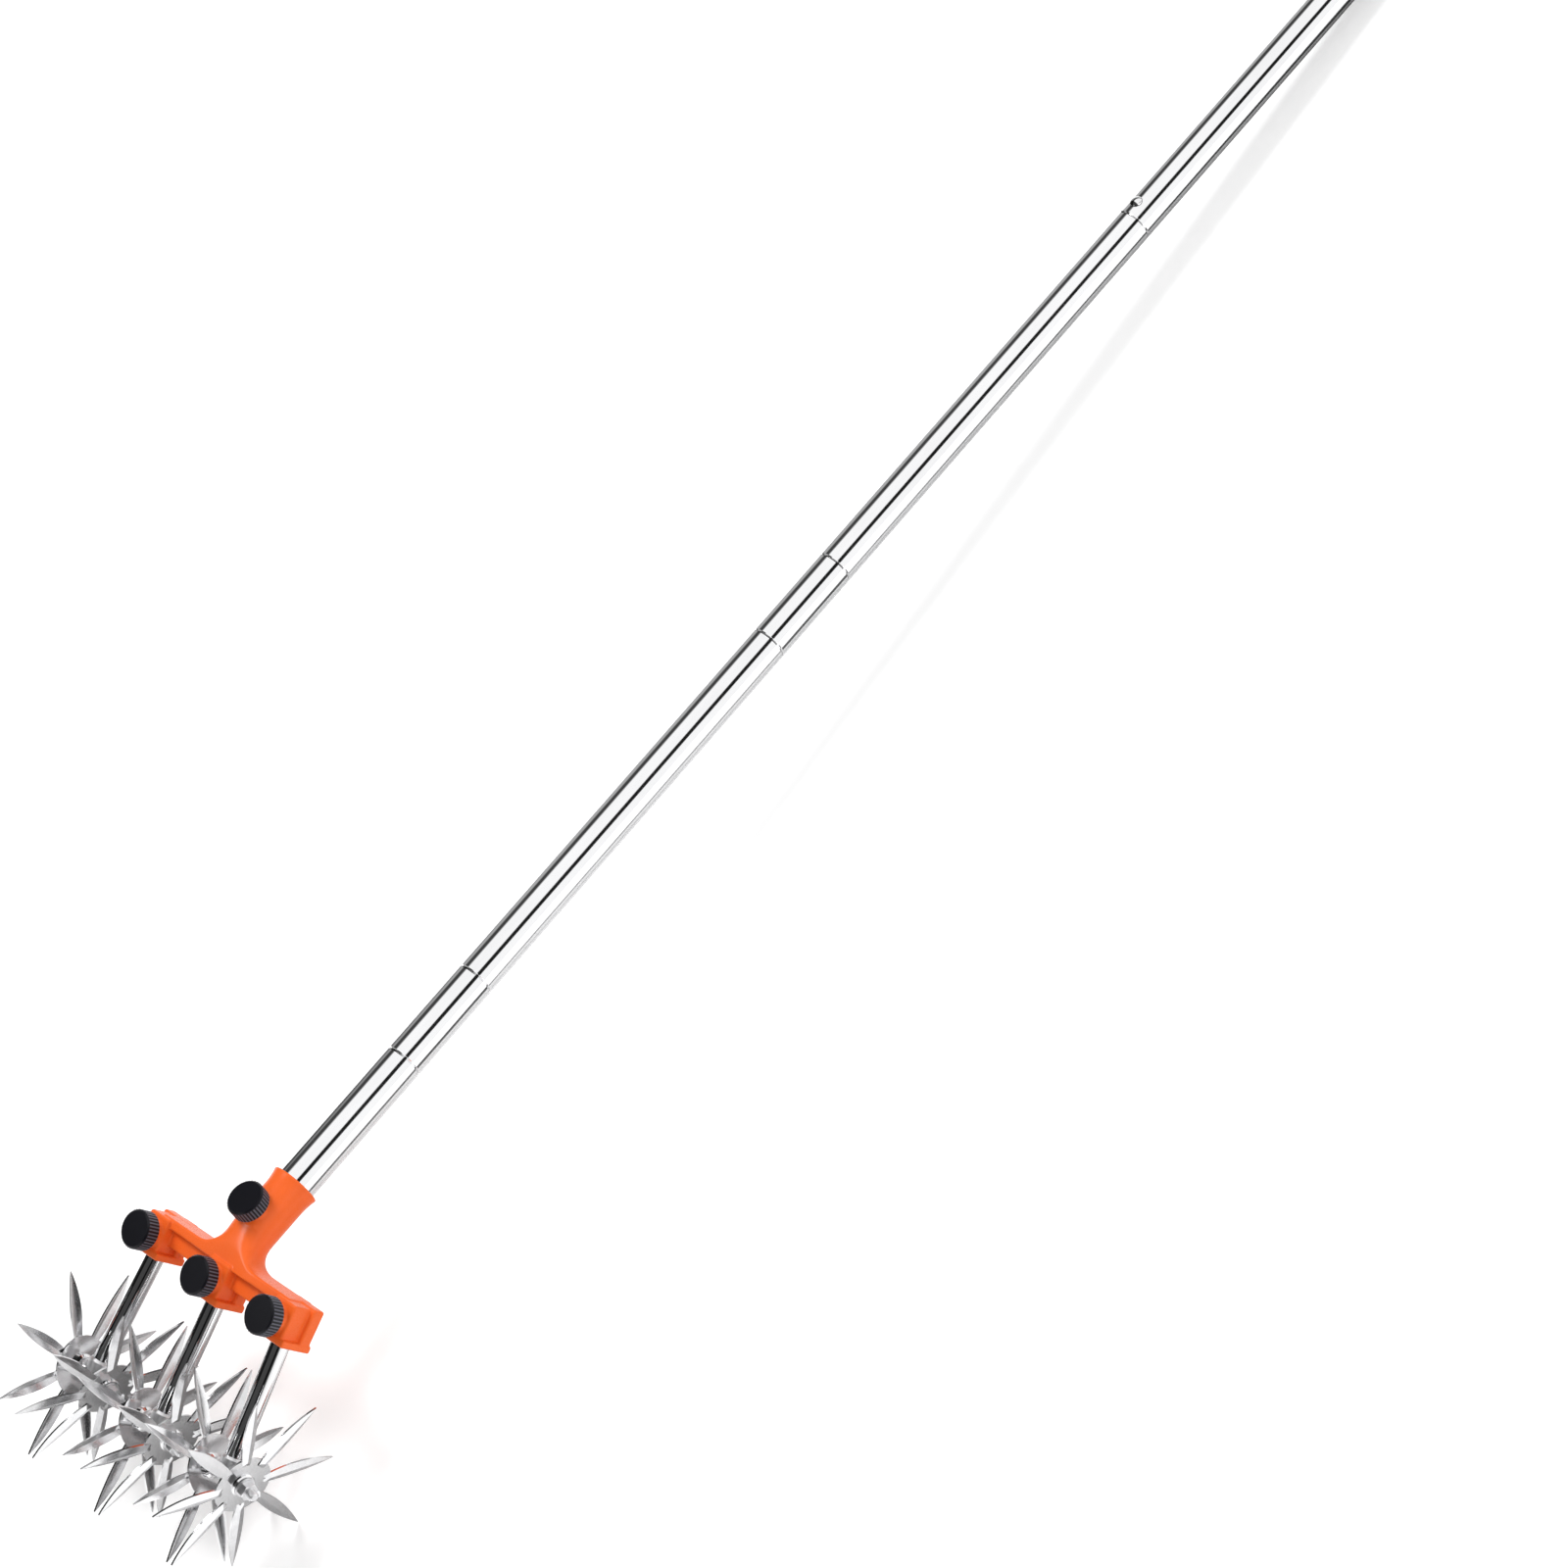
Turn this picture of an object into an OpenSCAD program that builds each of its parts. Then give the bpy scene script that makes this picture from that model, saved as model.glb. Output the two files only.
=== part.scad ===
// Rotary hand cultivator: sectional pole, three-socket head, three rods and six spiked star wheels.
// Lengths in millimetres. The tool lies on its wheels and pole end, knobs upward, pole towards +Y.

/* [Pole] */
// outside diameter of the pole tube
pole_d = 25; // [22:0.5:28]
// wall thickness of the pole tube
pole_wall = 1.2; // [1:0.1:1.6]
// length of the lowest section above the neck
reach_1 = 97; // [70:1:160]
// length of the second section with its coupling
reach_2 = 347; // [250:1:450]
// length of the third section with its coupling
reach_3 = 377; // [250:1:450]
// length of the top section
reach_4 = 330; // [250:1:450]
// length of the couplings let in above the two lower joints
coupling_len = 66; // [45:1:90]
// length of the reduced end that plugs into the next section
spigot_len = 50; // [35:1:60]
// depth of the pole in the neck
pole_depth = 36; // [33:1:36]
// width of the open seam at each pole joint
seam = 0.3; // [0.2:0.1:0.6]

/* [Snap button] */
// diameter of the snap button
button_d = 8; // [6:0.5:10]
// height of the button above the tube
button_rise = 2.2; // [1.5:0.1:3]
// distance of the button above the last joint
button_up = 10.5; // [10:0.5:20]

/* [Head] */
// distance between neighbouring rods
rod_pitch = 61; // [61:0.5:72]
// outward lean of the outer rods
fan = 3.5; // [3.5:0.1:5]
// drop of the middle socket below the outer ones
mid_drop = 2.6; // [0:0.1:5]
// width of a socket block
block_w = 18.5; // [18:0.5:22]
// front face of the blocks, measured from the rod axis
block_front = 11; // [10:0.5:13]
// back face of the bar, measured from the rod axis
bar_back = 10.5; // [9:0.5:12]
// height of the bar
bar_h = 26; // [25:0.5:32]
// thickness of the top ledge
ledge_t = 6; // [4:0.5:8]
// width of the lip around each socket mouth
mouth_w = 26; // [24:0.5:30]
// thickness of the lip around each socket mouth
mouth_t = 4.5; // [3:0.5:6]
// lean of the neck from the rods
lean = 24; // [20:0.2:30]
// wall thickness of the neck
neck_wall = 1.5; // [1.5:0.1:3.5]
// radius of the hollow curves between neck and bar
fillet_r = 11; // [8:0.5:20]

/* [Knobs] */
// outside diameter of a thumb knob
knob_d = 24; // [20:0.5:28]
// thickness of a thumb knob
knob_t = 10; // [9:0.5:14]
// number of grooves around a thumb knob
knob_ribs = 36; // [18:1:48]
// diameter of the clamping studs
stud_d = 6; // [5:0.5:8]
// height of the clamping studs above the outer socket mouths
stud_up = 13; // [12:0.5:16]

/* [Reels] */
// diameter of the rods
rod_d = 12; // [10:0.5:12]
// depth of the rods in their sockets
rod_depth = 21; // [18:0.5:22]
// distance from the outer socket mouths down to the cross axles
rod_reach = 79; // [70:0.5:100]
// downward slope of the axle stubs
droop = 13.5; // [6:0.5:13.5]
// diameter of the axle stubs
axle_d = 6; // [5:0.5:6]
// distance from the rod to the star plate along the stub
hub_out = 14.6; // [14.2:0.1:14.8]
// length of an axle stub
stub_len = 28; // [26:0.5:29]

/* [Star wheels] */
// radius over the spike tips
tip_r = 60.5; // [50:0.5:60.5]
// number of spikes on a wheel
spikes = 8; // [6:1:10]
// greatest width of a spike
spike_w = 8; // [6:0.5:10]
// height of the fold along a spike
fold_h = 1.6; // [1:0.1:1.8]
// sheet thickness of a wheel
sheet_t = 1.2; // [0.8:0.1:1.2]
// radius of the round plate in the middle of a wheel
plate_r = 18.5; // [16:0.5:22]
// turn of the wheels as they stand
spike_turn = 29; // [0:1:44]

/* [Hidden] */
// smoothness of round shapes
$fn = 96;
// overlap used where one cut runs through another
cut = 1;
// radial play of a piece that turns or slides
play = 0.06;
// radial play of a piece that is pressed in
snug = 0.03;
// gap between pieces that pass each other
gap = 0.3;

// pole
pole_r = pole_d / 2;
bore_r = pole_r - pole_wall;
spigot_r = bore_r - play;
spigot_bore = spigot_r - pole_wall;
edge_r = 0.7;
joint_1 = reach_1;
joint_2 = joint_1 + reach_2;
joint_3 = joint_2 + reach_3;
pole_end = joint_3 + reach_4;
tail_len = 24;
cap_len = 38;
cap_rise = 5;
cap_wall = 1.2;
cap_r = pole_r + snug + cap_wall;
cap_round = 4;
cap_seat = 0.05;

// snap button and leaf spring
button_at = joint_3 + button_up;
button_r = button_d / 2;
leaf_w = 7;
leaf_t = 0.6;
leaf_r = sqrt(pow(spigot_bore - gap, 2) - pow(leaf_w / 2, 2));
leaf_len = 26;
dome_r = 6;

// head
neck_y = 19.6;
neck_z = 77.7;
neck_r = pole_r + play + neck_wall;
neck_len = (neck_z - bar_h) / cos(lean) + neck_r;
neck_front = (pole_r + play) * cos(lean) + neck_wall + pole_depth * sin(lean) - neck_y;
flare_r = neck_r + 1.2;
flare_h = 9;
flare_edge = 2;
ledge_front = neck_front + 1;
wall_front = 4;
wall_foot = 9.5;
plate_front = 2;
plate_foot = 1.5;
plate_over = 3;
block_h = bar_h - 1;
corner_r = 2;
web_side = neck_r - 0.5;
boss_r = 8;
socket_top = rod_depth + 1;

// clamping screws: index 0 to 2 on the rods, 3 on the neck
screw_axis_r = [rod_d / 2, rod_d / 2, rod_d / 2, pole_r];
boss_out = [block_front + 5, block_front + 5, block_front + 5, neck_r + 1];
insert_in = [rod_d / 2 + 2, rod_d / 2 + 2, rod_d / 2 + 2, pole_r + 0.5];
stud_r = stud_d / 2;
insert_r = stud_r + 1.5;
knob_gap = 0.5;
knob_bore = 7;
knob_r = knob_d / 2;
knob_edge = 1.2;
rib_r = 0.75;
neck_screw_down = 28;

// reels
rod_r = rod_d / 2;
axle_r = axle_d / 2;
knuckle_r = rod_r + 1.3;
knuckle_up = 8;
knuckle_down = 6.5;
knuckle_edge = 1.5;
arm_r = axle_r + 1.5;
arm_len = 7.9;
nut_af = 10;
nut_edge = 0.6;
inner_nut_at = arm_len + 0.05;
inner_nut_t = 2.5;
collar_at = inner_nut_at + inner_nut_t + gap;
plate_at = hub_out - sheet_t / 2;
bush_r = 7.5;
bush_neck = axle_r + 1.5;
bush_round = 1.5;
flange_t = 1.4;
flange_end = plate_at + sheet_t + flange_t;
washer_at = flange_end + gap;
washer_t = 1;
washer_r = 6.2;
lock_nut_at = washer_at + washer_t;
lock_nut_t = 5;
stub_edge = 0.8;
fade_r = plate_r - 4.5;
root_r = 4;

// spike outline: two equal arcs from the root to the tip
spike_mid = (root_r + tip_r) / 2;
spike_half = (tip_r - root_r) / 2;
arc_r = (pow(spike_half, 2) + pow(spike_w / 2, 2)) / spike_w;

// lying position: wheels and pole end on the floor
mid_hub = mid_drop + rod_reach + hub_out * sin(droop);
side_hub = rod_reach * cos(fan) + hub_out * sin(droop + fan);
hub_drop = max(mid_hub, side_hub);
cap_edge = pole_end + cap_rise - cap_round;
end_y = neck_y + cap_edge * sin(lean);
end_z = neck_z + cap_edge * cos(lean) + hub_drop;
lay_angle = atan2(end_y, end_z) - asin((tip_r - cap_r) / norm([end_y, end_z]));
rest_z = tip_r + hub_drop * sin(lay_angle);
far_y = end_y * sin(lay_angle) + (end_z - hub_drop) * cos(lay_angle);
near_y = -tip_r - hub_drop * cos(lay_angle);
rest_y = -(far_y + near_y) / 2;

// colours
steel = [0.78, 0.79, 0.8];
bright = [0.86, 0.86, 0.88];
orange = [0.95, 0.36, 0.05];
black = [0.08, 0.08, 0.09];
brass = [0.8, 0.65, 0.3];

// places

module lay() {
    translate([0, rest_y, rest_z])
        rotate([lay_angle - 90, 0, 0])
            children();
}

module at_neck() {
    lay()
        translate([0, neck_y, neck_z])
            rotate([-lean, 0, 0])
                children();
}

module at_rod(i) {
    lay()
        translate([(i - 1) * rod_pitch, 0, i == 1 ? -mid_drop : 0])
            rotate([0, (1 - i) * fan, 0])
                children();
}

module at_stub(i, side) {
    at_rod(i)
        translate([0, 0, -rod_reach])
            rotate([0, side * (90 + droop), 0])
                children();
}

module at_screw(k) {
    if (k == 3) {
        at_neck()
            translate([0, 0, -neck_screw_down])
                rotate([90, 0, 0])
                    children();
    } else {
        at_rod(k)
            translate([0, 0, stud_up])
                rotate([90, 0, 0])
                    children();
    }
}

// shared shapes

module rounded_rect(x0, x1, y0, y1, r) {
    translate([x0 + r, y0])
        square([x1 - x0 - 2 * r, y1 - y0]);
    translate([x0, y0 + r])
        square([x1 - x0, y1 - y0 - 2 * r]);
    for (x = [x0 + r, x1 - r])
        for (y = [y0 + r, y1 - r])
            translate([x, y])
                circle(r);
}

module rail(len, y0, y1, z0, z1, r) {
    rotate([90, 0, 90])
        linear_extrude(len, center = true)
            rounded_rect(y0, y1, z0, z1, r);
}

module nut(at, thick, bore) {
    translate([0, 0, at])
        difference() {
            intersection() {
                cylinder(h = thick, d = nut_af / cos(30), $fn = 6);
                rotate_extrude()
                    polygon([
                        [0, 0],
                        [nut_af / 2, 0],
                        [nut_af / 2 + nut_edge * 2, nut_edge],
                        [nut_af / 2 + nut_edge * 2, thick - nut_edge],
                        [nut_af / 2, thick],
                        [0, thick]
                    ]);
            }
            translate([0, 0, -cut])
                cylinder(h = thick + 2 * cut, r = bore);
        }
}

// pole

module tube(z0, z1) {
    rotate_extrude()
        polygon([
            [bore_r, z0],
            [pole_r - edge_r, z0],
            [pole_r, z0 + edge_r],
            [pole_r, z1 - edge_r],
            [pole_r - edge_r, z1],
            [bore_r, z1]
        ]);
}

module spigot(z0, len) {
    rotate_extrude()
        polygon([
            [spigot_bore, z0 - 2 * pole_wall],
            [bore_r + pole_wall / 2, z0 - 2 * pole_wall],
            [bore_r + pole_wall / 2, z0 - pole_wall],
            [spigot_r, z0],
            [spigot_r, z0 + len - edge_r],
            [spigot_r - edge_r / 2, z0 + len],
            [spigot_bore, z0 + len]
        ]);
}

module button_hole(r) {
    translate([0, 0, button_at])
        rotate([90, 0, 0])
            cylinder(h = pole_d, r = r);
}

module pole_section_1() {
    color(steel)
        at_neck() {
            tube(-pole_depth, joint_1);
            spigot(joint_1, spigot_len);
        }
}

module pole_section_2() {
    color(steel)
        at_neck() {
            tube(joint_1 + coupling_len + seam, joint_2);
            spigot(joint_2, spigot_len);
        }
}

module pole_section_3() {
    color(steel)
        at_neck()
            difference() {
                union() {
                    tube(joint_2 + coupling_len + seam, joint_3);
                    spigot(joint_3, spigot_len);
                }
                button_hole(button_r + play);
            }
}

module pole_section_4() {
    color(steel)
        at_neck()
            difference() {
                tube(joint_3 + seam, pole_end);
                button_hole(button_r + gap);
            }
}

module coupling(joint) {
    color(steel)
        at_neck() {
            tube(joint + seam, joint + coupling_len);
            spigot(joint + coupling_len, tail_len);
        }
}

module coupling_1() {
    coupling(joint_1);
}

module coupling_2() {
    coupling(joint_2);
}

module pole_end_cap() {
    color(black)
        at_neck()
            translate([0, 0, pole_end])
                rotate_extrude()
                    difference() {
                        union() {
                            translate([0, -cap_len])
                                square([cap_r, cap_len + cap_rise - cap_round]);
                            square([cap_r - cap_round, cap_rise]);
                            translate([cap_r - cap_round, cap_rise - cap_round])
                                intersection() {
                                    circle(cap_round);
                                    square(cap_round);
                                }
                        }
                        translate([0, -cap_len - cut])
                            square([pole_r + snug, cap_len + cut + cap_seat]);
                    }
}

module snap_button() {
    color(bright)
        at_neck()
            translate([0, 0, button_at])
                rotate([90, 0, 0])
                    intersection() {
                        translate([0, 0, leaf_r + snug])
                            cylinder(h = pole_r + button_rise - leaf_r - snug, r = button_r);
                        translate([0, 0, pole_r + button_rise - dome_r])
                            sphere(dome_r);
                    }
}

module snap_spring() {
    color(steel)
        at_neck()
            translate([0, 0, button_at + leaf_len / 2 - button_r])
                rotate([90, 0, 90])
                    linear_extrude(leaf_w, center = true) {
                        difference() {
                            circle(leaf_r);
                            circle(leaf_r - leaf_t);
                            translate([-pole_r, -leaf_len - pole_d])
                                square([pole_d, leaf_len + pole_d]);
                        }
                        for (y = [-leaf_r, leaf_r - leaf_t])
                            translate([y, -leaf_len])
                                square([leaf_t, leaf_len]);
                    }
}

// head

module bar() {
    rail(2 * rod_pitch, -ledge_front, bar_back, bar_h - ledge_t, bar_h, corner_r);
    rail(2 * rod_pitch, -wall_front, bar_back, wall_foot, bar_h - cut, corner_r);
    for (i = [0:2])
        translate([(i - 1) * rod_pitch, 0, i == 1 ? -mid_drop : 0]) {
            rail(block_w + 2 * plate_over, plate_front, bar_back, plate_foot, bar_h, corner_r);
            linear_extrude(block_h)
                rounded_rect(-block_w / 2, block_w / 2, -block_front, plate_front + cut, corner_r);
            linear_extrude(mouth_t)
                rounded_rect(-mouth_w / 2, mouth_w / 2, -block_front - cut, bar_back + cut, corner_r);
        }
}

module neck() {
    intersection() {
        union() {
            translate([0, neck_y, neck_z])
                rotate([-lean, 0, 0])
                    rotate_extrude()
                        polygon([
                            [0, -neck_len],
                            [neck_r, -neck_len],
                            [neck_r, -flare_h],
                            [flare_r, -flare_edge],
                            [flare_r, 0],
                            [0, 0]
                        ]);
            translate([0, bar_back, 0])
                rotate([90, 0, 0])
                    linear_extrude(bar_back + neck_front)
                        difference() {
                            translate([-web_side - fillet_r, bar_h - cut])
                                square([2 * (web_side + fillet_r), fillet_r + cut]);
                            for (side = [-1, 1])
                                translate([side * (web_side + fillet_r), bar_h + fillet_r])
                                    circle(fillet_r);
                        }
        }
        translate([-rod_pitch, -neck_front, bar_h - ledge_t])
            cube([2 * rod_pitch, neck_front + neck_y + 2 * neck_r, neck_z]);
    }
}

module head() {
    color(orange)
        difference() {
            union() {
                lay() {
                    bar();
                    neck();
                }
                for (k = [0:3])
                    at_screw(k)
                        cylinder(h = boss_out[k], r = boss_r);
            }
            for (i = [0:2])
                at_rod(i)
                    translate([0, 0, -cut])
                        cylinder(h = socket_top + cut, r = rod_r + play);
            at_neck()
                translate([0, 0, -pole_depth])
                    cylinder(h = pole_depth + cut, r = pole_r + play);
            for (k = [0:3])
                at_screw(k) {
                    cylinder(h = boss_out[k] + cut, r = stud_r + gap);
                    translate([0, 0, insert_in[k]])
                        cylinder(h = boss_out[k] + cut - insert_in[k], r = insert_r + snug);
                }
        }
}

module insert(k) {
    at_screw(k)
        translate([0, 0, insert_in[k]])
            difference() {
                cylinder(h = boss_out[k] - insert_in[k], r = insert_r);
                translate([0, 0, -cut])
                    cylinder(h = boss_out[k] + cut, r = stud_r + play);
            }
}

module rod_inserts() {
    color(brass)
        for (k = [0:2])
            insert(k);
}

module neck_insert() {
    color(brass)
        insert(3);
}

// clamping screws

module knob(k) {
    color(black)
        at_screw(k)
            translate([0, 0, boss_out[k] + knob_gap])
                difference() {
                    intersection() {
                        linear_extrude(knob_t)
                            difference() {
                                circle(knob_r);
                                for (n = [1:knob_ribs])
                                    rotate(n * 360 / knob_ribs)
                                        translate([knob_r + rib_r / 3, 0])
                                            circle(rib_r, $fn = 24);
                            }
                        rotate_extrude()
                            polygon([
                                [0, 0],
                                [knob_r - knob_edge, 0],
                                [knob_r, knob_edge],
                                [knob_r, knob_t - knob_edge],
                                [knob_r - knob_edge, knob_t],
                                [0, knob_t]
                            ]);
                    }
                    translate([0, 0, -cut])
                        cylinder(h = knob_bore + cut, r = stud_r + play);
                }
}

module knob_left() {
    knob(0);
}

module knob_middle() {
    knob(1);
}

module knob_right() {
    knob(2);
}

module knob_neck() {
    knob(3);
}

module stud(k) {
    color(bright)
        at_screw(k)
            rotate_extrude()
                polygon([
                    [0, screw_axis_r[k] + gap],
                    [stud_r - stub_edge, screw_axis_r[k] + gap],
                    [stud_r, screw_axis_r[k] + gap + stub_edge],
                    [stud_r, boss_out[k] + knob_gap + knob_bore - snug],
                    [0, boss_out[k] + knob_gap + knob_bore - snug]
                ]);
}

module stud_left() {
    stud(0);
}

module stud_middle() {
    stud(1);
}

module stud_right() {
    stud(2);
}

module stud_neck() {
    stud(3);
}

// reels

module rod(i) {
    color(bright)
        at_rod(i)
            translate([0, 0, -rod_reach + cut])
                cylinder(h = rod_depth + rod_reach - cut, r = rod_r);
}

module axle(i) {
    color(bright) {
        at_rod(i)
            translate([0, 0, -rod_reach])
                difference() {
                    rotate_extrude()
                        polygon([
                            [0, -knuckle_down],
                            [knuckle_r - knuckle_edge, -knuckle_down],
                            [knuckle_r, knuckle_edge - knuckle_down],
                            [knuckle_r, knuckle_up - knuckle_edge],
                            [knuckle_r - knuckle_edge / 2, knuckle_up],
                            [0, knuckle_up]
                        ]);
                    translate([0, 0, cut])
                        cylinder(h = knuckle_up, r = rod_r + snug);
                    for (side = [-1, 1])
                        rotate([0, side * (90 + droop), 0])
                            translate([0, 0, arm_len])
                                cylinder(h = knuckle_r, r = knuckle_r);
                }
        for (side = [-1, 1])
            at_stub(i, side)
                difference() {
                    rotate_extrude()
                        polygon([
                            [0, rod_r],
                            [arm_r, rod_r],
                            [arm_r, arm_len],
                            [axle_r, arm_len],
                            [axle_r, stub_len - stub_edge],
                            [axle_r - stub_edge, stub_len],
                            [0, stub_len]
                        ]);
                    rotate([0, side * (-90 - droop), 0])
                        translate([0, 0, cut])
                            cylinder(h = knuckle_up, r = rod_r + snug);
                }
    }
}

module rod_left() {
    rod(0);
}

module rod_middle() {
    rod(1);
}

module rod_right() {
    rod(2);
}

module axle_left() {
    axle(0);
}

module axle_middle() {
    axle(1);
}

module axle_right() {
    axle(2);
}

module inner_nuts(i) {
    color(steel)
        for (side = [-1, 1])
            at_stub(i, side)
                nut(inner_nut_at, inner_nut_t, axle_r + snug);
}

module washers(i) {
    color(steel)
        for (side = [-1, 1])
            at_stub(i, side)
                translate([0, 0, washer_at])
                    difference() {
                        cylinder(h = washer_t, r = washer_r);
                        translate([0, 0, -cut])
                            cylinder(h = washer_t + 2 * cut, r = axle_r + snug);
                    }
}

module lock_nuts(i) {
    color(steel)
        for (side = [-1, 1])
            at_stub(i, side)
                nut(lock_nut_at, lock_nut_t, axle_r + snug);
}

module inner_nuts_left() {
    inner_nuts(0);
}

module inner_nuts_middle() {
    inner_nuts(1);
}

module inner_nuts_right() {
    inner_nuts(2);
}

module washers_left() {
    washers(0);
}

module washers_middle() {
    washers(1);
}

module washers_right() {
    washers(2);
}

module lock_nuts_left() {
    lock_nuts(0);
}

module lock_nuts_middle() {
    lock_nuts(1);
}

module lock_nuts_right() {
    lock_nuts(2);
}

// star wheels

module spike() {
    intersection() {
        linear_extrude(fold_h + sheet_t)
            intersection_for (side = [-1, 1])
                translate([spike_mid, side * (arc_r - spike_w / 2)])
                    circle(arc_r);
        rotate([90, 0, 90])
            linear_extrude(tip_r + cut)
                polygon([
                    [-spike_w / 2, 0],
                    [0, fold_h],
                    [spike_w / 2, 0],
                    [spike_w / 2, sheet_t],
                    [0, fold_h + sheet_t],
                    [-spike_w / 2, sheet_t]
                ]);
    }
}

module star(i, side) {
    color(steel)
        at_stub(i, side)
            translate([0, 0, plate_at])
                difference() {
                    union() {
                        cylinder(h = sheet_t, r = plate_r);
                        difference() {
                            for (n = [1:spikes])
                                rotate([0, 0, side * spike_turn + n * 360 / spikes])
                                    spike();
                            translate([0, 0, sheet_t])
                                cylinder(h = fold_h + cut, r1 = fade_r, r2 = plate_r + cut);
                        }
                    }
                    translate([0, 0, -cut])
                        cylinder(h = sheet_t + 2 * cut, r = bush_neck + snug);
                }
}

module bush(i, side) {
    color(bright)
        at_stub(i, side)
            rotate_extrude()
                polygon([
                    [axle_r + play, collar_at],
                    [bush_r - bush_round, collar_at],
                    [bush_r, collar_at + bush_round],
                    [bush_r, plate_at],
                    [bush_neck, plate_at],
                    [bush_neck, plate_at + sheet_t],
                    [bush_r, plate_at + sheet_t],
                    [bush_r, flange_end - bush_round / 2],
                    [bush_r - bush_round / 2, flange_end],
                    [axle_r + play, flange_end]
                ]);
}

module star_left_a() {
    star(0, -1);
}

module star_left_b() {
    star(0, 1);
}

module star_middle_a() {
    star(1, -1);
}

module star_middle_b() {
    star(1, 1);
}

module star_right_a() {
    star(2, -1);
}

module star_right_b() {
    star(2, 1);
}

module bush_left_a() {
    bush(0, -1);
}

module bush_left_b() {
    bush(0, 1);
}

module bush_middle_a() {
    bush(1, -1);
}

module bush_middle_b() {
    bush(1, 1);
}

module bush_right_a() {
    bush(2, -1);
}

module bush_right_b() {
    bush(2, 1);
}

pole_section_1();
pole_section_2();
pole_section_3();
pole_section_4();
coupling_1();
coupling_2();
snap_button();
snap_spring();
pole_end_cap();
head();
rod_inserts();
neck_insert();
knob_left();
knob_middle();
knob_right();
knob_neck();
stud_left();
stud_middle();
stud_right();
stud_neck();
rod_left();
rod_middle();
rod_right();
axle_left();
axle_middle();
axle_right();
inner_nuts_left();
inner_nuts_middle();
inner_nuts_right();
washers_left();
washers_middle();
washers_right();
lock_nuts_left();
lock_nuts_middle();
lock_nuts_right();
star_left_a();
star_left_b();
star_middle_a();
star_middle_b();
star_right_a();
star_right_b();
bush_left_a();
bush_left_b();
bush_middle_a();
bush_middle_b();
bush_right_a();
bush_right_b();
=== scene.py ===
"""Looks of a rotary hand cultivator: finishes, moulded head, threads, studio and camera."""

import logging
import math
from collections.abc import Callable
from dataclasses import asdict, dataclass
from enum import Enum

import bpy
import numpy as np
from mathutils import Matrix


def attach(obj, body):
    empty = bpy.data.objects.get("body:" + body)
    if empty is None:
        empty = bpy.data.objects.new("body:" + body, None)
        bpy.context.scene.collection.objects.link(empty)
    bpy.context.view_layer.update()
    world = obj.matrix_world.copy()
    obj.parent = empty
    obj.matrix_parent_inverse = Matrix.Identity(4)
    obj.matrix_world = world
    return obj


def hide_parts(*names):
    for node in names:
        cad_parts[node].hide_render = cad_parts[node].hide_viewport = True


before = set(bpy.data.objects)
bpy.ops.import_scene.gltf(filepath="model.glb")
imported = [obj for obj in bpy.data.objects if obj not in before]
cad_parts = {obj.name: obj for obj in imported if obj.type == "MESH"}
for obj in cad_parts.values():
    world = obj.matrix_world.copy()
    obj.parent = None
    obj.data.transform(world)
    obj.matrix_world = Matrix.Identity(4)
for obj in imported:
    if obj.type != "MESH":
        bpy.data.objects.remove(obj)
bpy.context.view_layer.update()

LOG = logging.getLogger("cultivator")
MM = 0.001

Pair = tuple[float, float]
Triple = tuple[float, float, float]
Out = str | int
Node = bpy.types.Node
Material = bpy.types.Material
Piece = bpy.types.Object

# Noise values at which a pattern reaches the two ends of its range.
NOISE_LOW, NOISE_HIGH = 0.3, 0.7

# Socket numbers of Blender's Mix node, whose names repeat for each kind of data.
MIX_FLOAT_A, MIX_FLOAT_B = 2, 3
MIX_COLOUR_A, MIX_COLOUR_B, MIX_COLOUR_OUT = 6, 7, 2


class Side(Enum):
    """Side of a reel that a star wheel sits on, with its sign along the bar."""

    A = -1
    B = 1


class Reel(Enum):
    """The three reels, with their place along the bar in rod pitches."""

    LEFT = -1
    MIDDLE = 0
    RIGHT = 1


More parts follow.
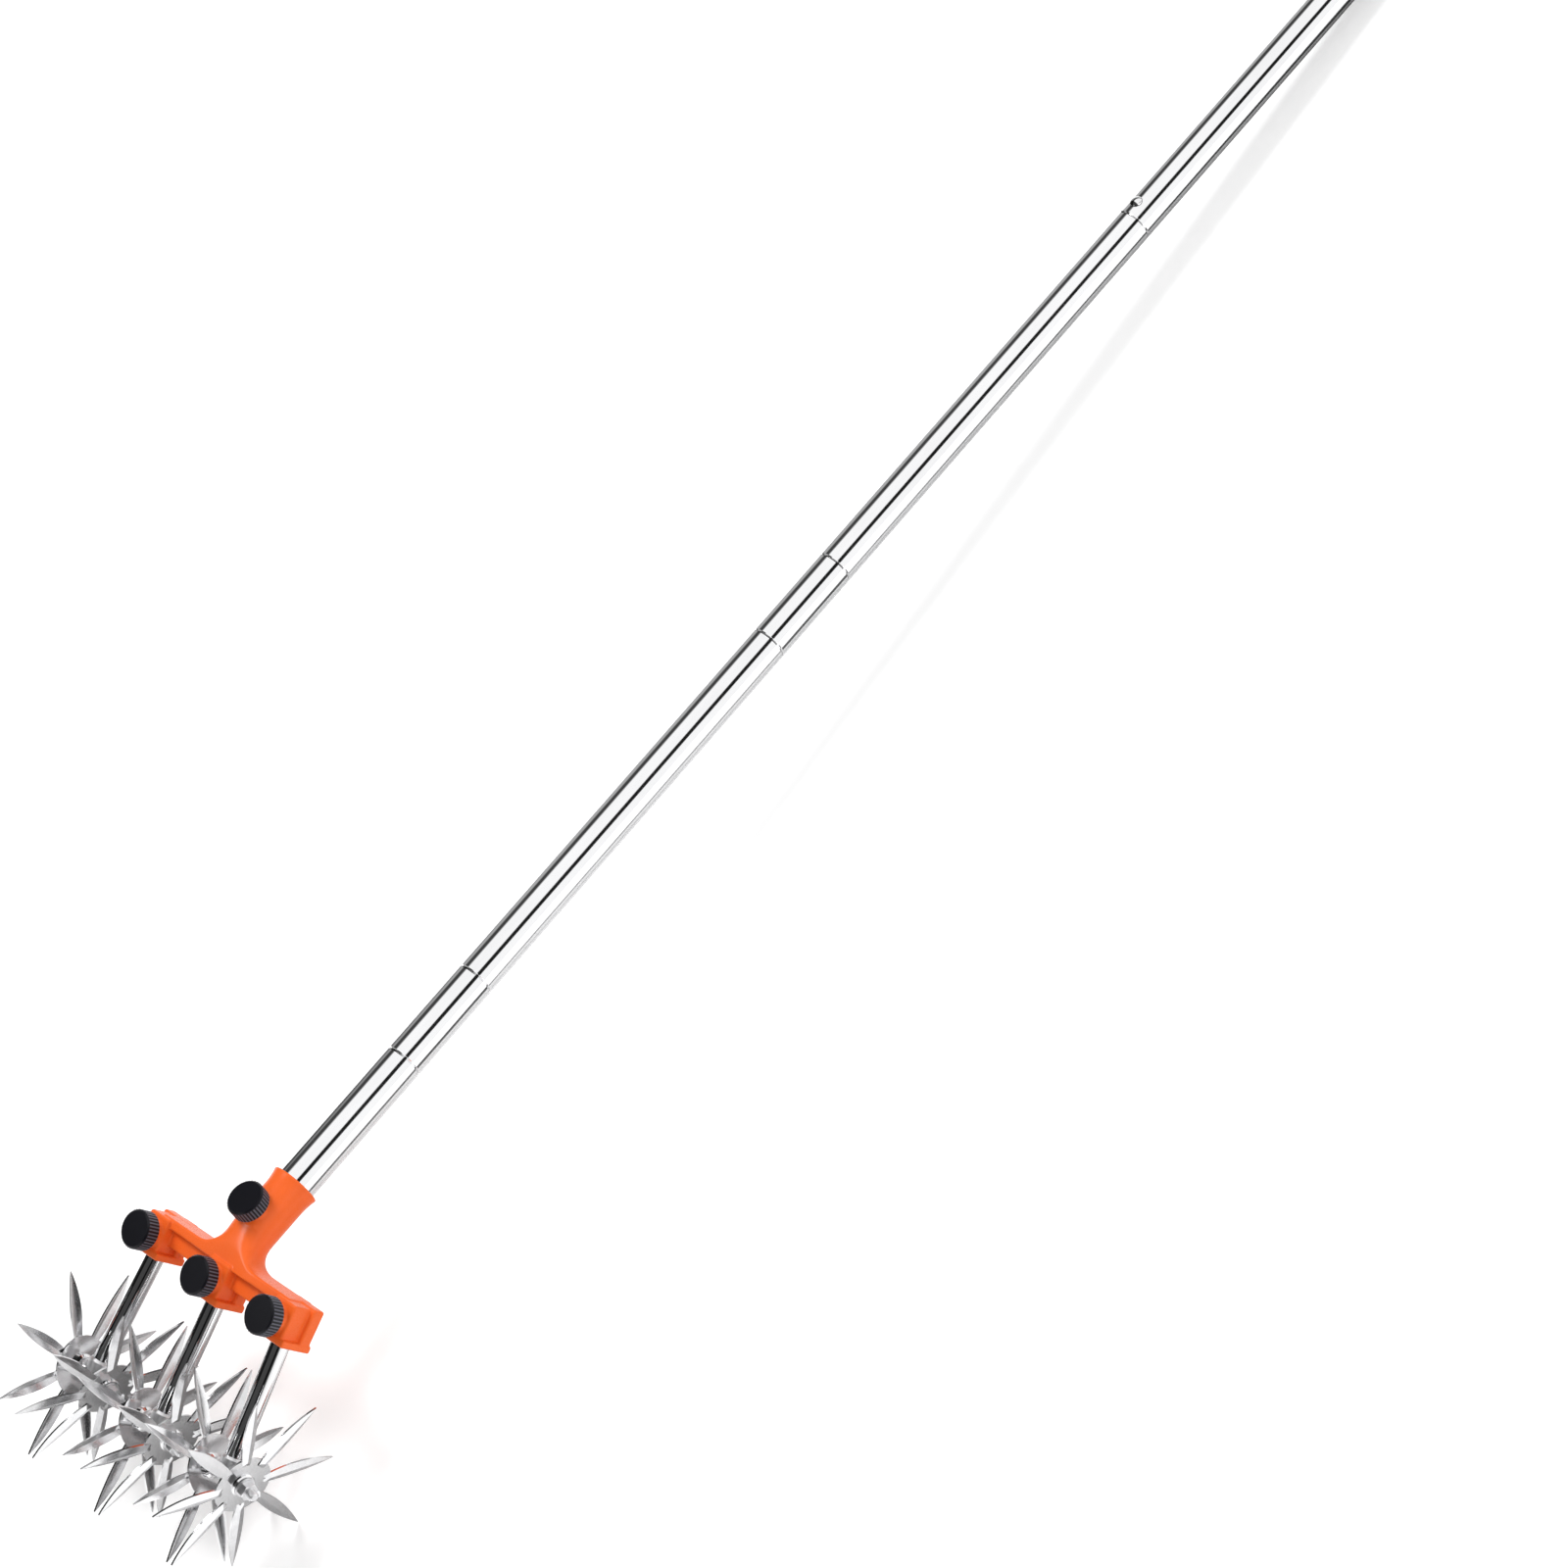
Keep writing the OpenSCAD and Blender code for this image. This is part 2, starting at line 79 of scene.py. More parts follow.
@dataclass(frozen=True)
class ToolFrame:
    """Places of the tool's pieces, from the head's own frame (mm, rods along Z) to the lying tool (m)."""

    lean: float = 24.0
    neck_y: float = 19.6
    neck_z: float = 77.7
    rod_pitch: float = 61.0
    fan: float = 3.5
    mid_drop: float = 2.6
    rod_reach: float = 79.0
    droop: float = 13.5
    hub_out: float = 14.6
    tip_r: float = 60.5
    cap_r: float = 13.73
    cap_edge: float = 1152.0

    @property
    def hub_drop(self) -> float:
        """Depth of the lowest star hubs below the outer socket mouths.

        Returns:
            Depth in mm.
        """
        droop, fan = math.radians(self.droop), math.radians(self.fan)
        middle = self.mid_drop + self.rod_reach + self.hub_out * math.sin(droop)
        outer = self.rod_reach * math.cos(fan) + self.hub_out * math.sin(droop + fan)
        return max(middle, outer)

    @property
    def far_end(self) -> Pair:
        """Y and Z of the pole's far end in the head's frame, in mm."""
        lean = math.radians(self.lean)
        return self.neck_y + self.cap_edge * math.sin(lean), self.neck_z + self.cap_edge * math.cos(lean)

    @property
    def lay(self) -> float:
        """Angle between the rods and the floor line of the lying tool.

        Returns:
            Angle in radians.
        """
        far_y, far_z = self.far_end
        reach = far_z + self.hub_drop
        drop = math.asin((self.tip_r - self.cap_r) / math.hypot(far_y, reach))
        return math.atan2(far_y, reach) - drop

    @property
    def turn(self) -> np.ndarray:
        """Rotation from the head's frame to the lying tool, as a 3 by 3 array."""
        s, c = math.sin(self.lay), math.cos(self.lay)
        return np.array([[1.0, 0.0, 0.0], [0.0, s, c], [0.0, -c, s]])

    @property
    def shift(self) -> np.ndarray:
        """Shift that puts the lying tool on the floor with its middle over the origin.

        Returns:
            Shift in mm.
        """
        s, c = math.sin(self.lay), math.cos(self.lay)
        far_y, far_z = self.far_end
        far = far_y * s + far_z * c
        near = -self.tip_r - self.hub_drop * c
        return np.array([0.0, -(far + near) / 2, self.tip_r + self.hub_drop * s])

    def points(self, local: np.ndarray) -> np.ndarray:
        """Moves points of the head's frame, in mm, to the lying tool, in metres."""
        return (local @ self.turn.T + self.shift) * MM

    def vector(self, local: np.ndarray | Triple) -> np.ndarray:
        """Unit direction in the lying tool of a direction in the head's frame."""
        v = self.turn @ np.array(local, float)
        return v / np.linalg.norm(v)

    def neck_line(self) -> tuple[np.ndarray, np.ndarray]:
        """Mouth of the neck and its direction towards the pole.

        Returns:
            Point in mm and unit direction, both in the head's frame.
        """
        lean = math.radians(self.lean)
        mouth = np.array([0.0, self.neck_y, self.neck_z])
        return mouth, np.array([0.0, math.sin(lean), math.cos(lean)])

    def socket(self, reel: Reel) -> tuple[np.ndarray, np.ndarray]:
        """Mouth and upward direction of a rod's socket.

        Args:
            reel: the rod's reel.

        Returns:
            Point in mm and unit direction, both in the head's frame.
        """
        lean = math.radians(reel.value * self.fan)
        drop = self.mid_drop if reel is Reel.MIDDLE else 0.0
        mouth = np.array([reel.value * self.rod_pitch, 0.0, -drop])
        return mouth, np.array([-math.sin(lean), 0.0, math.cos(lean)])

    def stub(self, reel: Reel, side: Side) -> tuple[np.ndarray, np.ndarray]:
        """Start and direction of an axle stub.

        Args:
            reel: the reel that the stub belongs to.
            side: the side of the reel.

        Returns:
            Point in mm and unit direction, both in the head's frame.
        """
        droop = math.radians(self.droop)
        mouth, up = self.socket(reel)
        across = np.array([up[2], 0.0, -up[0]])
        axis = side.value * math.cos(droop) * across - math.sin(droop) * up
        return mouth - self.rod_reach * up, axis

    @property
    def pole_axis(self) -> np.ndarray:
        """Unit direction of the lying tool's pole, from the head to its far end."""
        return self.vector(self.neck_line()[1])

    @property
    def rod_axis(self) -> np.ndarray:
        """Unit direction of the lying tool's middle rod, from the wheels to the head."""
        return self.vector((0.0, 0.0, 1.0))


class TreeBoard:
    """A node tree, with short calls for adding and linking nodes."""

    def __init__(self, tree: bpy.types.NodeTree) -> None:
        """Empties a node tree and takes it over."""
        self.tree = tree
        self.tree.nodes.clear()

    def add(self, kind: str, values: dict | None = None, **settings: object) -> Node:
        """Adds a node.

        Args:
            kind: Blender's type name of the node.
            values: input socket name or index to value.
            settings: attributes of the node itself.

        Returns:
            The new node.
        """
        node = self.tree.nodes.new(kind)
        for key, value in settings.items():
            setattr(node, key, value)
        for key, value in (values or {}).items():
            node.inputs[key].default_value = value
        return node

    def link(self, a: Node, out: Out, b: Node, into: Out) -> None:
        """Links an output of node a to an input of node b, by names or indices."""
        self.tree.links.new(a.outputs[out], b.inputs[into])

    def combine(self, operation: str, a: Node, b: Node, out: Out = 0) -> Node:
        """Works out one value from those of two nodes.

        Args:
            operation: Blender's name of the operation.
            a: first node.
            b: second node.
            out: name or index of the output that is used of both.

        Returns:
            The Math node.
        """
        node = self.add("ShaderNodeMath", operation=operation)
        self.link(a, out, node, 0)
        self.link(b, out, node, 1)
        return node

    def vector(self, operation: str, source: Node, out: Out, other: Triple) -> Node:
        """Works out a vector or value from a vector and a fixed one.

        Args:
            operation: Blender's name of the operation.
            source: node with the first vector.
            out: name or index of its output.
            other: the second vector.

        Returns:
            The Vector Math node.
        """
        node = self.add("ShaderNodeVectorMath", {1: other}, operation=operation)
        self.link(source, out, node, 0)
        return node

    def remap(self, source: Node, out: Out, before: Pair, after: Pair = (0.0, 1.0)) -> Node:
        """Maps a value from one range to another and keeps it there.

        Args:
            source: node with the value.
            out: name or index of its output.
            before: range of the value.
            after: range of the result.

        Returns:
            The Map Range node.
        """
        ends = {"From Min": before[0], "From Max": before[1], "To Min": after[0], "To Max": after[1]}
        node = self.add("ShaderNodeMapRange", ends)
        self.link(source, out, node, "Value")
        return node

    def ramp(self, source: Node, out: Out, greys: list[Pair]) -> Node:
        """Grey that follows a value through a row of stops.

        Args:
            source: node with the value.
            out: name or index of its output.
            greys: value and brightness of each stop, in rising order.

        Returns:
            The colour ramp node.
        """
        first, last = greys[0][0], greys[-1][0]
        share = self.remap(source, out, (first, last))
        node = self.add("ShaderNodeValToRGB")
        stops = node.color_ramp.elements
        ready = len(stops)
        for number, (value, grey) in enumerate(greys):
            place = (value - first) / (last - first)
            stop = stops[number] if number < ready else stops.new(place)
            stop.position = place
            stop.color = (grey, grey, grey, 1.0)
        self.link(share, "Result", node, "Fac")
        return node


class NodeBoard(TreeBoard):
    """A material's node tree with a Principled shader, and the patterns that its finishes share."""

    # A direction whose Z part is above this counts as upright; the share is that of a noise's finer octaves.
    nearly_upright: float = 0.9
    fine_share: float = 0.55

    def __init__(self, name: str) -> None:
        """Makes a material with an output and a Principled shader.

        Args:
            name: name of the material.
        """
        self.material = bpy.data.materials.new(name)
        self.material.use_nodes = True
        super().__init__(self.material.node_tree)
        output = self.add("ShaderNodeOutputMaterial")
        self.shader = self.add("ShaderNodeBsdfPrincipled")
        self.link(self.shader, "BSDF", output, "Surface")

    def coords(self, turn: np.ndarray | None = None, stretch: Triple = (1.0, 1.0, 1.0)) -> Node:
        """Object coordinates, turned so that local Z runs along a direction and stretched.

        Args:
            turn: direction that becomes the pattern's Z, or None.
            stretch: factor on each axis after the turn.

        Returns:
            The Mapping node that gives the coordinates.
        """
        source = self.add("ShaderNodeTexCoord")
        turned = self.add("ShaderNodeMapping", vector_type="POINT")
        if turn is not None:
            beside = [0.0, 0.0, 1.0] if abs(turn[2]) < self.nearly_upright else [1.0, 0.0, 0.0]
            x = np.cross(beside, turn)
            x /= np.linalg.norm(x)
            rows = Matrix([list(x), list(np.cross(turn, x)), list(turn)])
            turned.inputs["Rotation"].default_value = rows.to_euler()
        self.link(source, "Object", turned, "Vector")
        scaled = self.add("ShaderNodeMapping", vector_type="POINT", values={"Scale": stretch})
        self.link(turned, "Vector", scaled, "Vector")
        return scaled

    def noise(self, coords: Node, scale: float, detail: float) -> Node:
        """Noise texture on given coordinates.

        Args:
            coords: node that gives the coordinates.
            scale: pattern scale per metre.
            detail: number of octaves.

        Returns:
            The noise node.
        """
        values = {"Scale": scale, "Detail": detail, "Roughness": self.fine_share}
        node = self.add("ShaderNodeTexNoise", values)
        self.link(coords, "Vector", node, "Vector")
        return node

    def span(self, noise: Node, low: float, high: float) -> Node:
        """Value between two ends that follows a noise."""
        return self.remap(noise, "Fac", (NOISE_LOW, NOISE_HIGH), (low, high))

    def tint(self, noise: Node, low: Triple, high: Triple) -> Node:
        """Colour between two ends that follows a noise.

        Args:
            noise: the noise node.
            low: colour where the noise is low.
            high: colour where the noise is high.

        Returns:
            The colour ramp node.
        """
        node = self.add("ShaderNodeValToRGB")
        for stop, place, colour in zip(node.color_ramp.elements, (NOISE_LOW, NOISE_HIGH), (low, high)):
            stop.position = place
            stop.color = (*colour, 1.0)
        self.link(noise, "Fac", node, "Fac")
        return node

    def bump(self, noise: Node, height: float, before: Node | None = None) -> Node:
        """Bump from a height pattern.

        Args:
            noise: the noise node that gives the height.
            height: full height in metres.
            before: earlier bump to build on.

        Returns:
            The bump node.
        """
        node = self.add("ShaderNodeBump", {"Strength": 1.0, "Distance": height})
        self.link(noise, "Fac", node, "Height")
        if before is not None:
            self.link(before, "Normal", node, "Normal")
        return node

    def surface(self, colour: Node, rough: Node, bump: Node) -> None:
        """Feeds the shader.

        Args:
            colour: node with the colour.
            rough: node with the roughness.
            bump: the bump node.
        """
        self.link(colour, "Color", self.shader, "Base Color")
        self.link(rough, "Result", self.shader, "Roughness")
        self.link(bump, "Normal", self.shader, "Normal")


@dataclass(frozen=True)
class Finish:
    """A surface finish that can be turned into a material."""

    name: str
    colour: Triple
    rough: float

    def shaded(self, share: float) -> Triple:
        """The colour with its brightness multiplied by a share."""
        return tuple(part * share for part in self.colour)

    def build(self) -> Material:
        """Builds the material."""
        raise NotImplementedError


@dataclass(frozen=True)
class DrawnSteel(Finish):
    """Polished drawn tube or bar: fine lines along one direction and faint cloudy polish marks."""

    along: Triple
    line_depth: float = 1.2e-6
    spread: float = 0.05
    line_scale: float = 2600.0
    line_stretch: Triple = (1.0, 1.0, 0.02)
    cloud_scale: float = 60.0
    cloud_stretch: Triple = (1.0, 1.0, 0.25)
    cloud_shade: float = 0.93

    def build(self) -> Material:
        """Builds the material.

        Returns:
            The finished material.
        """
        b = NodeBoard(self.name)
        along = np.array(self.along)
        lines = b.noise(b.coords(along, self.line_stretch), self.line_scale, detail=2.0)
        cloud = b.noise(b.coords(along, self.cloud_stretch), self.cloud_scale, detail=4.0)
        colour = b.tint(cloud, self.shaded(self.cloud_shade), self.colour)
        rough = b.span(cloud, self.rough - self.spread / 2, self.rough + self.spread / 2)
        b.surface(colour, rough, b.bump(lines, self.line_depth))
        b.shader.inputs["Metallic"].default_value = 1.0
        return b.material


@dataclass(frozen=True)
class PressedSteel(Finish):
    """Pressed and plated sheet: small scuffs along one direction and a mottled plate."""

    scuff: float
    scuff_along: Triple = (0.5, 0.3, 0.81)
    scuff_scale: float = 1500.0
    scuff_stretch: Triple = (1.0, 1.0, 0.06)
    scuff_depth: float = 2.0e-6
    mottle_scale: float = 170.0
    mottle_depth: float = 4.0e-6
    mottle_shade: float = 0.9

    def build(self) -> Material:
        """Builds the material.

        Returns:
            The finished material.
        """
        b = NodeBoard(self.name)
        mottle = b.noise(b.coords(), self.mottle_scale, detail=4.0)
        scuffed = b.coords(np.array(self.scuff_along), self.scuff_stretch)
        scuffs = b.noise(scuffed, self.scuff_scale, detail=2.0)
        colour = b.tint(mottle, self.shaded(self.mottle_shade), self.colour)
        rough = b.span(scuffs, self.rough, self.rough + self.scuff)
        b.surface(colour, rough, b.bump(scuffs, self.scuff_depth, b.bump(mottle, self.mottle_depth)))
        b.shader.inputs["Metallic"].default_value = 1.0
        return b.material


@dataclass(frozen=True)
class MouldedPlastic(Finish):
    """Injection-moulded plastic: fine mould grain, faint flow clouds and slight sink waves."""

    grain: float = 6.0e-6
    wave: float = 4.0e-5
    cloud: float = 0.06
    sheen: float = 0.3
    smoother: float = 0.04
    rougher: float = 0.05
    flow_scale: float = 45.0
    grain_scale: float = 2600.0
    sink_scale: float = 70.0
    refraction: float = 1.5

    def layers(self) -> tuple[NodeBoard, Node]:
        """Builds the layers of the plastic.

        Returns:
            The material's board and the node with its colour.
        """
        b = NodeBoard(self.name)
        plain = b.coords()
        flow = b.noise(plain, self.flow_scale, detail=3.0)
        grain = b.noise(plain, self.grain_scale, detail=2.0)
        sink = b.noise(plain, self.sink_scale, detail=1.0)
        colour = b.tint(flow, self.shaded(1.0 - self.cloud), self.colour)
        rough = b.span(grain, self.rough - self.smoother, self.rough + self.rougher)
        b.surface(colour, rough, b.bump(grain, self.grain, b.bump(sink, self.wave)))
        b.shader.inputs["IOR"].default_value = self.refraction
        b.shader.inputs["Specular IOR Level"].default_value = self.sheen
        return b, colour

    def build(self) -> Material:
        """Builds the material."""
        return self.layers()[0].material


@dataclass(frozen=True, kw_only=True)
class RibbedPlastic(MouldedPlastic):
    """Plastic of a thumb knob with a painted sheen on its ridges, lighter with the distance from its axis.
    """

    spot: Triple
    axis: Triple
    ridge_sheen: Triple = (0.1, 0.1, 0.125)
    groove_r: float = 0.01165
    ridge_r: float = 0.012

    def build(self) -> Material:
        """Builds the material.

        Returns:
            The finished material.
        """
        b, colour = self.layers()
        place = b.vector("SUBTRACT", b.coords(), "Vector", self.spot)
        across = b.vector("CROSS_PRODUCT", place, "Vector", self.axis)
        away = b.add("ShaderNodeVectorMath", operation="LENGTH")
        b.link(across, "Vector", away, 0)
        # Painted sheen: the ridges, furthest from the axis, take the lighter colour.
        sheen_share = b.remap(away, "Value", (self.groove_r, self.ridge_r))
        mixed = b.add("ShaderNodeMix", data_type="RGBA")
        b.link(sheen_share, "Result", mixed, "Factor")
        b.link(colour, "Color", mixed, MIX_COLOUR_A)
        mixed.inputs[MIX_COLOUR_B].default_value = (*self.ridge_sheen, 1.0)
        b.link(mixed, MIX_COLOUR_OUT, b.shader, "Base Color")
        return b.material


class Shape:
    """Objects made from whole arrays of points, and the dressing of CAD nodes."""

    @staticmethod
    def grid(name: str, points: np.ndarray, closed: bool, material: Material) -> Piece:
        """Skins a grid of points with quads.

        Args:
            name: name of the new object.
            points: array of shape (u, v, 3) in metres.
            closed: join the last v to the first.
            material: material of the piece.

        Returns:
            The new object, linked to the scene.
        """
        nu, nv = points.shape[:2]
        u, v = np.meshgrid(np.arange(nu - 1), np.arange(nv if closed else nv - 1), indexing="ij")
        u2, v2 = u + 1, (v + 1) % nv
        quads = np.stack([u * nv + v, u2 * nv + v, u2 * nv + v2, u * nv + v2], axis=-1)
        return Shape.piece(name, points.reshape(-1, 3), quads.reshape(-1, 4), material)

    @staticmethod
    def piece(name: str, points: np.ndarray, quads: np.ndarray, material: Material) -> Piece:
        """Makes an object of points and quads.

        Args:
            name: name of the new object.
            points: array of points in metres.
            quads: array of four point numbers for each face.
            material: material of the piece.

        Returns:
            The new object, linked to the scene.
        """
        mesh = bpy.data.meshes.new(name)
        mesh.from_pydata(points.tolist(), [], quads.tolist())
        mesh.polygons.foreach_set("use_smooth", np.ones(len(mesh.polygons), bool))
        mesh.materials.append(material)
        mesh.update()
        return Shape.linked(name, mesh)

    @staticmethod
    def linked(name: str, data: bpy.types.ID) -> Piece:
        """Links a new object to the scene.

        Args:
            name: name of the object.
            data: its mesh, light or camera.

        Returns:
            The new object.
        """
        piece = bpy.data.objects.new(name, data)
        bpy.context.scene.collection.objects.link(piece)
        return piece

    @staticmethod
    def stand(right: np.ndarray, up: np.ndarray, back: np.ndarray, spot: np.ndarray) -> Matrix:
        """Matrix of a lamp or camera, which looks against its back direction."""
        rows = [[right[i], up[i], back[i], spot[i]] for i in range(3)]
        return Matrix([*rows, [0.0, 0.0, 0.0, 1.0]])

    @staticmethod
    def dress(node: str, material: Material) -> None:
        """Gives a CAD node its material.

        Args:
            node: name of the CAD node.
            material: its material.
        """
        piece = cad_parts[node]
        piece.data.materials.clear()
        piece.data.materials.append(material)
        LOG.info("dressed %s with %s", node, material.name)


@dataclass(frozen=True)
class Skin:
    """Quads over the zero level of a distance field, on a grid of cubes; lengths are in mm.

    One point stands in each cube that the level crosses, at the mean of the crossings on its edges, and is
    then moved onto the level along the field's slope; one quad stands for each grid edge that is crossed.
    """

    field: Callable[[np.ndarray], np.ndarray]
    low: Triple
    high: Triple
    step: float
    passes: int = 3
    pull: float = 0.7
    probe: float = 0.1
    least_slope: float = 0.25

    def at(self, points: np.ndarray) -> np.ndarray:
        """The field's distances at given points."""
        return self.field(points.astype(np.float32))

    def sample(self) -> np.ndarray:
        """Works out the field at the grid's points.

        Returns:
            Distances in an array of the grid's shape.
        """
        ends = zip(self.low, self.high)
        xs, ys, zs = (np.arange(low, high, self.step, dtype=np.float32) for low, high in ends)
        y, z = np.meshgrid(ys, zs, indexing="ij")
        return np.stack([self.at(np.stack([np.full_like(y, x), y, z], axis=-1)) for x in xs])

    def cubes(self, inside: np.ndarray) -> np.ndarray:
        """Finds the cubes that the level crosses.

        Args:
            inside: for each grid point, whether it is inside the form.

        Returns:
            Place of each crossed cube in the grid.
        """
        size = tuple(n - 1 for n in inside.shape)
        count = np.zeros(size, np.int8)
        corners = list(np.ndindex(2, 2, 2))
        for corner in corners:
            count += inside[tuple(slice(first, first + n) for first, n in zip(corner, size))]
        return np.argwhere((count > 0) & (count < len(corners)))

    def crossings(self, value: np.ndarray, cubes: np.ndarray) -> np.ndarray:
        """Finds the mean of the level's crossings on the edges of each cube.

        Args:
            value: distances at the grid's points.
            cubes: places of the crossed cubes.

        Returns:
            One point for each cube.
        """
        total = np.zeros((len(cubes), 3))
        hits = np.zeros((len(cubes), 1))
        for start in np.array(list(np.ndindex(2, 2, 2))):
            for way in np.eye(3, dtype=int)[start == 0]:
                near = value[tuple((cubes + start).T)]
                far = value[tuple((cubes + start + way).T)]
                crossed = (near < 0.0) != (far < 0.0)
                share = np.where(crossed, near / np.where(crossed, near - far, 1.0), 0.0)
                total += (start + share[:, None] * way) * crossed[:, None]
                hits += crossed[:, None]
        return (cubes + total / hits) * self.step + np.array(self.low)

    def settle(self, points: np.ndarray) -> np.ndarray:
        """Moves points onto the level along the field's slope.

        Args:
            points: points near the level.

        Returns:
            The moved points.
        """
        for _ in range(self.passes):
            here = self.at(points).astype(float)
            rises = [self.at(points + way) - self.at(points - way) for way in self.probe * np.eye(3)]
            slope = np.stack(rises, axis=-1) / (2 * self.probe)
            steep = np.maximum((slope * slope).sum(axis=-1), self.least_slope)
            off = np.clip(here / steep, -self.step / 2, self.step / 2)
            points = points - self.pull * off[:, None] * slope
        return points

    def faces(self, inside: np.ndarray, cubes: np.ndarray) -> np.ndarray:
        """Joins the points of the four cubes around each crossed grid edge, seen from outside.

        Args:
            inside: for each grid point, whether it is inside the form.
            cubes: places of the crossed cubes, in the order of their points.

        Returns:
            Four point numbers for each face.
        """
        number = np.full(tuple(n - 1 for n in inside.shape), -1, np.int64)
        number[tuple(cubes.T)] = np.arange(len(cubes))
        faces = []
        for axis in range(3):
            u, v = (axis + 1) % 3, (axis + 2) % 3
            near = [slice(1, -1)] * 3
            near[axis] = slice(0, -1)
            far = list(near)
            far[axis] = slice(1, None)
            first, second = inside[tuple(near)], inside[tuple(far)]
            edges = np.argwhere(first != second)
            leaving = first[tuple(edges.T)]
            base = edges + 1
            base[:, axis] -= 1
            ring = []
            for du, dv in ((0, 0), (-1, 0), (-1, -1), (0, -1)):
                cube = base.copy()
                cube[:, u] += du
                cube[:, v] += dv
                ring.append(number[tuple(cube.T)])
            quad = np.stack(ring, axis=-1)
            quad[~leaving] = quad[~leaving][:, ::-1]
            faces.append(quad)
        return np.concatenate(faces)

    def build(self) -> tuple[np.ndarray, np.ndarray]:
        """Skins the level.

        Returns:
            Points in mm and quads.
        """
        value = self.sample()
        inside = value < 0.0
        cubes = self.cubes(inside)
        return self.settle(self.crossings(value, cubes)), self.faces(inside, cubes)


@dataclass
class Pole:
    """The sectional pole with its couplings, snap button and end cap."""

    steel: Material
    bright: Material
    black: Material
    sections: int = 4
    couplings: int = 2

    def dress(self) -> None:
        """Dresses the pole's CAD nodes."""
        for number in range(self.sections):
            Shape.dress(f"pole_section_{number + 1}", self.steel)
        for number in range(self.couplings):
            Shape.dress(f"coupling_{number + 1}", self.steel)
        Shape.dress("snap_button", self.bright)
        Shape.dress("snap_spring", self.bright)
        Shape.dress("pole_end_cap", self.black)


class Field:
    """Distance fields in mm: negative inside a form, zero on its skin."""

    @staticmethod
    def box(p: np.ndarray, low: Triple, high: Triple, edge: float) -> np.ndarray:
        """Box with rounded edges.

        Args:
            p: points, last axis x, y, z.
            low: least corner.
            high: greatest corner.
            edge: radius of the edges.

        Returns:
            Distance of each point.
        """
        lo, hi = np.array(low, np.float32), np.array(high, np.float32)
        q = np.abs(p - (lo + hi) / 2) - ((hi - lo) / 2 - edge)
        return np.linalg.norm(np.maximum(q, 0.0), axis=-1) + np.minimum(q.max(axis=-1), 0.0) - edge

    @staticmethod
    def around(p: np.ndarray, start: np.ndarray, axis: np.ndarray) -> tuple[np.ndarray, np.ndarray]:
        """Distance along and away from an axis.

        Args:
            p: points.
            start: point on the axis.
            axis: unit direction.

        Returns:
            Distance along the axis and distance from it.
        """
        rel = p - start.astype(np.float32)
        along = rel @ axis.astype(np.float32)
        return along, np.sqrt(np.maximum((rel * rel).sum(axis=-1) - along * along, 0.0))

    @staticmethod
    def rod(p: np.ndarray, start: np.ndarray, axis: np.ndarray, reach: Pair, radius: float) -> np.ndarray:
        """Plain cylinder about an axis, with its ends at a reach along it."""
        along, away = Field.around(p, start, axis)
        return np.maximum(away - radius, np.maximum(reach[0] - along, along - reach[1]))

    @staticmethod
    def join(a: np.ndarray, b: np.ndarray, blend: float) -> np.ndarray:
        """Union of two forms, with a hollow of the width of the blend where they meet."""
        h = np.maximum(blend - np.abs(a - b), 0.0) / blend
        return np.minimum(a, b) - h * h * (blend / 4)

    @staticmethod
    def meet(a: np.ndarray, b: np.ndarray, blend: float) -> np.ndarray:
        """Common part of two forms, with an edge rounded over the width of the blend."""
        return -Field.join(-a, -b, blend)


@dataclass(frozen=True)
class Screw:
    """Place of a clamping screw in the head's frame, with its boss length and insert depth, in mm."""

    name: str
    start: np.ndarray
    out: np.ndarray
    boss: float
    insert: float


